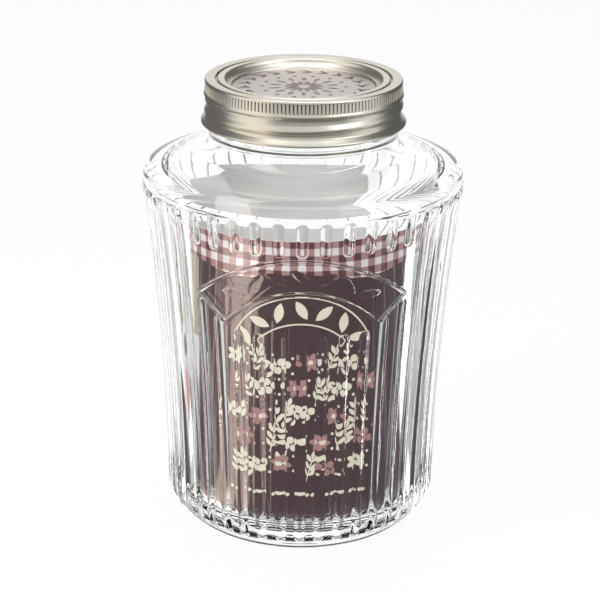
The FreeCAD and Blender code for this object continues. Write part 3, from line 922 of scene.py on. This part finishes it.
def disc_profile():
    upper = [(0, 172.95), (14, 172.95), (26.3, 172.95), (26.6, 173.0), (26.8, 173.3)]
    upper += [(26.9, 173.6), (27.1, 173.78), (27.5, 173.88), (28.3, 174.5), (28.9, 175.0)]
    upper += [(29.15, 175.4), (29.3, 175.9), (29.55, 176.25), (30.0, 176.45), (30.9, 176.5)]
    upper += [(31.8, 176.45), (32.15, 176.2), (32.3, 175.8), (32.4, 175.55), (34.6, 175.5)]
    lower = [(34.6, 175.1), (29.9, 175.1), (29.0, 174.6), (27.6, 173.4), (27.1, 172.5), (0, 172.5)]
    return upper + lower


def outline_verts(bm, outline, centre, turn):
    """The points of a small outline, turned and placed."""
    c, s = math.cos(turn), math.sin(turn)
    return [
        bm.verts.new((centre[0] + x * c - y * s, centre[1] + x * s + y * c, 0)) for x, y in outline
    ]


def flat_shape(bm, outline, centre, turn):
    """A printed shape as one flat face."""
    bm.faces.new(outline_verts(bm, outline, centre, turn))


def leaf_outline(length, width, count=5):
    """Pointed leaf from the origin along +X."""
    half = []
    for i in range(count + 1):
        share = i / count
        half.append((length * share, width / 2 * math.sin(math.pi * share) ** 0.8))
    return [(x, -y) for x, y in half[:-1]] + list(reversed(half[1:]))


def ring_outline(radius, count=10):
    return [on_circle(radius, 2 * math.pi * i / count) for i in range(count)]


def disc_wreath(colours):
    """A ring of paired leaves and berries round a small rosette, printed on the disc's panel."""
    bm = bmesh.new()
    pairs = 22
    for index in range(pairs):
        turn = 2 * math.pi * index / pairs
        for side, reach in ((0.55, 22.2), (-0.55, 21.4)):
            leaf = leaf_outline(4.4, 1.6)
            flat_shape(bm, leaf, on_circle(reach, turn), turn + math.pi / 2 + side)
        flat_shape(bm, ring_outline(0.5), on_circle(24.4, turn + math.pi / pairs), 0)
    for index in range(14):
        turn = 2 * math.pi * index / 14
        for start, reach, length, width in ((0.0, 2.0, 6.0, 1.9), (0.22, 8.4, 5.2, 1.7)):
            centre = on_circle(reach, turn + start)
            flat_shape(bm, leaf_outline(length, width), centre, turn + start)
        flat_shape(bm, ring_outline(0.9), on_circle(15.6, turn), 0)
    for vert in bm.verts:
        vert.co = Vector((vert.co.x * MM, vert.co.y * MM, PANEL_PRINT * MM))
    ink = ink_material("disc_ink", colours.disc_print)
    return finish_mesh(bm, "disc_print", [ink], smooth=False)


class JAR_OT_card(bpy.types.Operator):
    """Curled card with its gingham strip, plum field and cream print"""
    bl_idname = "jar.card"
    bl_label = "Card"

    def execute(self, context):
        sizes, colours = parameters()
        inner = CARD_RADIUS - CARD_THICK
        profile = [(CARD_RADIUS, CARD_FOOT), (CARD_RADIUS, CARD_TOP)]
        profile += [(inner, CARD_TOP), (inner, CARD_FOOT), (CARD_RADIUS, CARD_FOOT)]
        start = CARD_GAP_AT - 90 + (360 - CARD_WRAP) / 2
        bm = lathe(profile, steps=12, doublings=4, degrees=CARD_WRAP, start=start)
        rims = [edge for edge in bm.edges if edge.is_boundary]
        bmesh.ops.holes_fill(bm, edges=rims, sides=4)
        materials = [card_material(colours, sizes), board_material(colours)]
        piece = finish_mesh(bm, "curled_card", materials, smooth=False)
        for polygon in piece.data.polygons:
            middle = polygon.center
            outward = polygon.normal.dot(Vector((middle.x, middle.y, 0)).normalized())
            polygon.material_index = 0 if outward > 0.5 else 1
            polygon.use_smooth = abs(outward) > 0.5
        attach(piece, "root")
        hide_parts("card_insert")
        for printed in card_prints(colours):
            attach(printed, "root")
        return {"FINISHED"}


def bend_to_card(bm, lift):
    """Wraps a flat print, X along the curl and Y up, on to the outside of the card."""
    for vert in bm.verts:
        around = vert.co.x / CARD_RADIUS
        radius = CARD_RADIUS + lift
        height = vert.co.y
        vert.co = Vector((radius * math.sin(around), -radius * math.cos(around), height)) * MM


def band_line(bm, path, width):
    """A printed line of even width along a list of flat points."""
    rows = []
    for index, spot in enumerate(path):
        before = Vector(path[max(index - 1, 0)])
        after = Vector(path[min(index + 1, len(path) - 1)])
        along = (after - before).normalized()
        side = Vector((-along.y, along.x)) * width / 2
        spot = Vector(spot)
        rows.append([bm.verts.new((*(spot + side), 0)), bm.verts.new((*(spot - side), 0))])
    for low, high in zip(rows, rows[1:]):
        bm.faces.new((low[0], low[1], high[1], high[0]))


def arch_path(radius, crown, half_span, count=24):
    spread = math.asin(half_span / radius)
    return [
        (radius * math.sin(spread * (2 * i / count - 1)),
         crown - radius + radius * math.cos(spread * (2 * i / count - 1)))
        for i in range(count + 1)
    ]


def fan(bm, outline, centre, turn=0.0):
    """A printed shape as a fan of triangles, so that it can bend with the card."""
    middle = bm.verts.new((centre[0], centre[1], 0))
    ring = outline_verts(bm, outline, centre, turn)
    for index, vert in enumerate(ring):
        bm.faces.new((middle, vert, ring[(index + 1) % len(ring)]))


def petal(length, width):
    return [(x - length / 2, y) for x, y in leaf_outline(length, width)]


def bloom(petals, heart, centre, turn, size):
    """Round petals on one ink and a heart on the other."""
    for index in range(6):
        angle = turn + index * math.pi / 3
        fan(petals, petal(2.7 * size, 1.7 * size), on_circle(1.75 * size, angle, centre), angle)
    fan(heart, ring_outline(0.8 * size), centre)


def sprig(stems, leaves, centre, turn, size):
    """A stem with three pairs of leaves and one at its tip."""
    along = Vector((math.cos(turn), math.sin(turn)))
    middle = Vector(centre)
    stem = [tuple(middle + along * size * step) for step in (-4.4, -1.5, 1.5, 3.0)]
    band_line(stems, stem, 0.45)
    for step in (-2.6, -0.4, 1.8):
        for side in (1, -1):
            angle = turn + side * 0.75
            reach = Vector((math.cos(angle), math.sin(angle))) * 1.7 * size
            spot = tuple(middle + along * size * step + reach)
            fan(leaves, petal(3.0 * size, 1.25 * size), spot, angle)
    fan(leaves, petal(3.0 * size, 1.3 * size), tuple(middle + along * 4.2 * size), turn)


def berries(fruit, leaves, centre, turn, size):
    """Four round fruits under two leaves."""
    for across, up in ((-1.3, 0.0), (1.3, 0.1), (0.0, -2.0), (0.1, 1.9)):
        c, s = math.cos(turn), math.sin(turn)
        spot = (centre[0] + size * (across * c - up * s), centre[1] + size * (across * s + up * c))
        fan(fruit, ring_outline(1.15 * size), spot)
    for side in (0.5, -0.5):
        angle = turn + math.pi / 2 + side
        fan(leaves, petal(3.2 * size, 1.3 * size), on_circle(4.0 * size, angle, centre), angle)


def card_prints(colours):
    """Cream and dusty pink print: a curved garland over a meadow of sprigs, blooms and berries."""
    cream, pink, coral, dark = (bmesh.new() for ink in range(4))
    top, low = (27.5, 107.0, 25.0), (21.2, 96.5, 18.0)
    for arch in (top, low):
        band_line(cream, arch_path(*arch), 0.6)
    for side in (-1, 1):
        ends = [(side * arch[2], arch[1] - arch[0] + math.sqrt(arch[0] ** 2 - arch[2] ** 2))
                for arch in (top, low)]
        band_line(cream, ends, 0.6)
    for index in range(-3, 4):
        turn = index * 0.34
        centre = (24.4 * math.sin(turn), 77.5 + 24.4 * math.cos(turn))
        fan(cream, petal(8.2, 3.6), centre, (1.05 if index % 2 else -1.05) - turn)
    motifs = (bloom, sprig, berries)
    for row in range(5):
        for column in range(6):
            index = row * 6 + column
            shift = 4.4 if row % 2 else 0.0
            centre = (-24.5 + column * 9.0 + shift + 1.1 * math.sin(index * 2.4),
                      81.0 - row * 10.4 + 1.2 * math.cos(index * 1.7))
            first, second = (pink, cream) if index % 5 in (1, 3) else (cream, cream)
            motif = motifs[(index + row) % 3]
            motif(first, second, centre, math.pi / 2 + 0.5 * math.sin(index * 1.3), 1.3)
            for step in (0, 1):
                spot = (centre[0] + 4.6, centre[1] + 3.2 - 6.0 * step)
                fan(second, ring_outline(0.6), spot)
    patches = (
        (dark, 76.0, -70.0, 10.0, 6.0),
        (coral, 55.0, -68.0, 28.0, 6.5),
        (dark, 59.0, -58.0, 26.0, 5.5),
    )
    for ink, height, away, tall, wide in patches:
        fan(ink, petal(tall, wide), (math.radians(away) * CARD_RADIUS, height), math.pi / 2)
    for index in range(-11, 12):
        if index % 4 != 3:
            spot = (index * 2.4, 28.0 + 0.35 * math.cos(index * 2.2))
            fan(cream, petal(2.3, 1.5), spot, 0.25 * (index % 3))
    prints = []
    for bm, name, rgb in ((cream, "card_cream_print", colours.cream),
                          (pink, "card_pink_print", colours.dusty_pink),
                          (coral, "card_coral_print", CORAL_INK),
                          (dark, "card_dark_print", DARK_INK)):
        bend_to_card(bm, PRINT_LIFT)
        prints.append(finish_mesh(bm, name, [ink_material(name + "_ink", rgb)], smooth=False))
    return prints


class JAR_OT_stage(bpy.types.Operator):
    """White table, lamps, surroundings and camera"""
    bl_idname = "jar.stage"
    bl_label = "Stage"

    def execute(self, context):
        build_floor()
        build_world()
        build_lamps()
        build_camera()
        context.scene.view_settings.view_transform = "Standard"
        cycles = context.scene.cycles
        cycles.max_bounces = 24
        cycles.transmission_bounces = 20
        cycles.glossy_bounces = 8
        cycles.diffuse_bounces = 4
        return {"FINISHED"}


def sectors(tree, around, base, parts):
    """A colour that changes with the direction round the jar."""
    scene = base
    for low, high, rgb in parts:
        scene = blend_colour(tree, between(tree, around, low, high, 1.0), scene, (*rgb, 1))
    return scene


def surroundings(tree, place, rays, far=1.0, near=0.0):
    """The studio as it shows through the glass, on the glass, on the metal and on the card."""
    axes = add_node(tree, "ShaderNodeSeparateXYZ", {0: place}).outputs
    around = maths(tree, "DEGREES", direction_round(tree, axes))
    through = sectors(tree, around, WHITE_SCREEN, OPEN_SCREEN)
    flagged = sectors(tree, around, WHITE_SCREEN, OPEN_SCREEN + DARK_FLAGS)
    through = blend_colour(tree, near, through, flagged)
    in_front = blend_colour(tree, far, FRONT_NEAR, FRONT_FAR)
    on_metal = sectors(tree, around, METAL_SCREEN, METAL_SEES)
    on_metal = blend_colour(tree, between(tree, around, -38, 55, 3.0), on_metal, in_front)
    on_glass = sectors(tree, around, WHITE_SCREEN, GLASS_SEES)
    on_card = sectors(tree, around, WHITE_SCREEN, CARD_SEES)
    bounced = maths(tree, "GREATER_THAN", rays["Glossy Depth"], 0.5)
    entered = maths(tree, "GREATER_THAN", rays["Transmission Depth"], 0.5)
    mirrored = blend_colour(tree, rays["Is Singular Ray"], on_metal, on_glass)
    mirrored = blend_colour(tree, entered, mirrored, on_card)
    return blend_colour(tree, bounced, through, mirrored)


def build_floor():
    bm = bmesh.new()
    bmesh.ops.create_grid(bm, x_segments=1, y_segments=1, size=3.0)
    material = bpy.data.materials.new("white_table")
    material.use_nodes = True
    tree = material.node_tree
    tree.nodes.clear()
    rays = add_node(tree, "ShaderNodeLightPath").outputs
    place = object_place(tree)
    length_node = add_node(tree, "ShaderNodeVectorMath", {0: place}, operation="LENGTH")
    distance = length_node.outputs["Value"]
    far = ramp(tree, distance, 0.5, 1.1)
    near = ramp(tree, distance, 0.3, 0.4, 1.0, 0.0)
    scene = surroundings(tree, place, rays, far, near)
    seen = blend_colour(tree, rays["Is Camera Ray"], scene, WHITE)
    diffuse = add_node(tree, "ShaderNodeBsdfDiffuse", {"Color": (0.9, 0.9, 0.9, 1)})
    white = add_node(tree, "ShaderNodeEmission", {"Color": seen, "Strength": 1.0})
    direct = maths(tree, "MAXIMUM", rays["Is Glossy Ray"], rays["Is Transmission Ray"])
    share = maths(tree, "MULTIPLY_ADD", rays["Is Camera Ray"], WHITE_SHARE, direct)
    shaders = {0: share, 1: diffuse.outputs[0], 2: white.outputs[0]}
    mixed = add_node(tree, "ShaderNodeMixShader", shaders)
    add_node(tree, "ShaderNodeOutputMaterial", {0: mixed.outputs[0]})
    floor = finish_mesh(bm, "white_table", [material], smooth=False)
    for vert in floor.data.vertices:
        vert.co.z = -0.0002


def build_world():
    world = bpy.data.worlds.new("studio")
    bpy.context.scene.world = world
    world.use_nodes = True
    tree = world.node_tree
    tree.nodes.clear()
    rays = add_node(tree, "ShaderNodeLightPath").outputs
    place = add_node(tree, "ShaderNodeTexCoord").outputs["Generated"]
    seen = maths(tree, "MAXIMUM", rays["Is Glossy Ray"], rays["Is Transmission Ray"])
    light = blend_colour(tree, seen, SKY, surroundings(tree, place, rays))
    light = blend_colour(tree, rays["Is Camera Ray"], light, WHITE)
    background = add_node(tree, "ShaderNodeBackground", {"Color": light, "Strength": 1.0})
    add_node(tree, "ShaderNodeOutputWorld", {0: background.outputs[0]})


def build_lamps():
    for name, place, size, power in (
        ("key", (-0.55, -0.35, 0.55), (0.35, 0.6), 3.2),
        ("fill", (0.6, -0.5, 0.5), (0.5, 0.5), 1.3),
        ("top", (0.0, 0.1, 0.9), (0.7, 0.5), 2.0),
    ):
        lamp = bpy.data.lights.new(name, "AREA")
        lamp.shape = "RECTANGLE"
        lamp.size, lamp.size_y = size
        lamp.energy = power
        holder = bpy.data.objects.new(name, lamp)
        holder.location = place
        aim = Vector((0, 0, 0.09)) - Vector(place)
        holder.rotation_euler = aim.to_track_quat("-Z", "Y").to_euler()
        holder.visible_glossy = name != "key"
        bpy.context.scene.collection.objects.link(holder)


def build_camera():
    camera = bpy.data.cameras.new("view")
    camera.lens = CAMERA_LENS
    camera.sensor_width = 36.0
    camera.clip_start = 0.01
    holder = bpy.data.objects.new("view", camera)
    yaw, pitch, roll = CAMERA_TURN
    turn = Matrix.Rotation(math.radians(yaw), 4, "Z")
    turn = turn @ Matrix.Rotation(math.radians(90 - pitch), 4, "X")
    turn = turn @ Matrix.Rotation(math.radians(roll), 4, "Z")
    holder.matrix_world = Matrix.Translation(CAMERA_PLACE) @ turn
    bpy.context.scene.collection.objects.link(holder)
    bpy.context.scene.camera = holder


class JAR_PT_panel(bpy.types.Panel):
    """Buttons that build the jar piece by piece"""
    bl_idname = "JAR_PT_panel"
    bl_label = "Preserving jar"
    bl_space_type = "VIEW_3D"
    bl_region_type = "UI"
    bl_category = "Jar"

    def draw(self, context):
        for group in (context.scene.jar_sizes, context.scene.jar_colours):
            box = self.layout.box()
            for name in group.bl_rna.properties.keys():
                if name not in ("rna_type", "name"):
                    box.prop(group, name)
        for operator in OPERATORS:
            self.layout.operator(operator.bl_idname)


OPERATORS = (JAR_OT_glass, JAR_OT_lid_disc, JAR_OT_screw_band, JAR_OT_card, JAR_OT_stage)
CLASSES = (JarSizes, JarColours) + OPERATORS + (JAR_PT_panel,)


def register():
    for cls in CLASSES:
        bpy.utils.register_class(cls)
    bpy.types.Scene.jar_sizes = PointerProperty(type=JarSizes)
    bpy.types.Scene.jar_colours = PointerProperty(type=JarColours)


def unregister():
    del bpy.types.Scene.jar_colours
    del bpy.types.Scene.jar_sizes
    for cls in reversed(CLASSES):
        bpy.utils.unregister_class(cls)


def main():
    register()
    bpy.ops.jar.glass()
    bpy.ops.jar.lid_disc()
    bpy.ops.jar.screw_band()
    bpy.ops.jar.card()
    bpy.ops.jar.stage()


if __name__ == "__main__":
    main()
